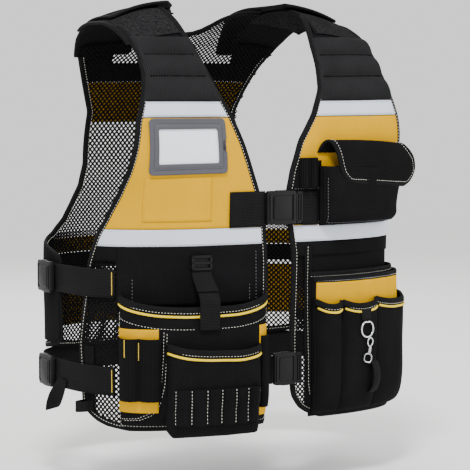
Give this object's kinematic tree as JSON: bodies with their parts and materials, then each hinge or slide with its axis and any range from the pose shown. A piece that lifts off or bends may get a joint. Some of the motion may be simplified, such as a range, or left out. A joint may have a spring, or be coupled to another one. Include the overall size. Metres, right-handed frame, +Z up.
{
  "type": "utility work vest",
  "caption": "Utility work vest in black net and yellow cloth with silver reflective tape, padded shoulders, buckled chest, waist and side straps, tool and nail pouches and a phone pouch.",
  "frame": {"origin": "where the vest sits on the shoulders: midway between the two shoulder straps, level with the highest point of their underside", "axes": "+Z up, -Y the way the vest's front faces, +X towards the wearer's left"},
  "size_m": [0.52, 0.3874, 0.5729],
  "materials": {
    "net_cloth": "open diamond net of black polyester, bound at its edges",
    "woven_cloth": "dense woven black polyester, matt",
    "lined_net": "spacer net over foam, dark grey",
    "loop_pile": "black loop pile of a hook-and-loop strap",
    "black_webbing": "ribbed polyester webbing, slight sheen",
    "black_elastic": "ribbed black elastic",
    "yellow_cloth": "bright warm yellow woven polyester, matt",
    "silver_tape": "silver retroreflective tape, fine-grained",
    "grey_vinyl": "soft grey vinyl, half gloss",
    "white_card": "plain printed card, smooth",
    "black_plastic": "moulded black acetal, satin",
    "steel": "nickel-plated steel wire, bright"
  },
  "bodies": {
    "root": {"back_panel": "net_cloth", "back_yoke": "woven_cloth", "back_upper_band": "yellow_cloth", "back_middle_band": "yellow_cloth", "back_waist_band": "woven_cloth", "back_lower_band": "yellow_cloth", "front_panel_right": "net_cloth", "reflective_chest_right": "silver_tape", "reflective_waist_right": "silver_tape", "yellow_panel_right": "yellow_cloth", "shoulder_pad_right": "lined_net", "shoulder_strap_right": "loop_pile", "back_strap_right": "lined_net", "side_webbing_right": "black_webbing", "side_upper_buckle_right": "black_plastic", "side_lower_buckle_right": "black_plastic", "hammer_backing_right": "woven_cloth", "hammer_loop_right": "black_webbing", "front_panel_left": "net_cloth", "reflective_chest_left": "silver_tape", "reflective_waist_left": "silver_tape", "yellow_panel_left": "yellow_cloth", "shoulder_pad_left": "lined_net", "shoulder_strap_left": "loop_pile", "back_strap_left": "lined_net", "side_webbing_left": "black_webbing", "side_upper_buckle_left": "black_plastic", "side_lower_buckle_left": "black_plastic", "hammer_backing_left": "woven_cloth", "hammer_loop_left": "black_webbing", "id_frame": "grey_vinyl", "id_card": "white_card", "magnet_patch": "yellow_cloth", "chest_anchor": "black_webbing", "chest_buckle_socket": "black_plastic", "chest_buckle_plug": "black_plastic", "chest_webbing": "black_webbing", "waist_buckle_socket": "black_plastic", "waist_buckle_plug": "black_plastic", "waist_webbing": "black_webbing", "tool_pouch": "woven_cloth", "pouch_backing": "woven_cloth", "tool_strap": "black_webbing", "tool_strap_buckle": "black_plastic", "nail_pouch": "woven_cloth", "bit_band": "black_elastic", "sleeve_backing": "yellow_cloth", "tool_sleeves": "black_elastic", "side_sleeve": "black_elastic", "phone_pouch": "woven_cloth", "phone_flap": "woven_cloth", "pen_sleeves": "black_elastic", "rear_pocket_left": "woven_cloth", "middle_pocket_left": "yellow_cloth", "triple_pocket_left": "woven_cloth", "ring_tab": "black_webbing", "d_ring": "steel", "snap_hook": "steel", "tape_loop": "black_webbing", "back_belt": "black_webbing"}
  },
  "joints": []
}
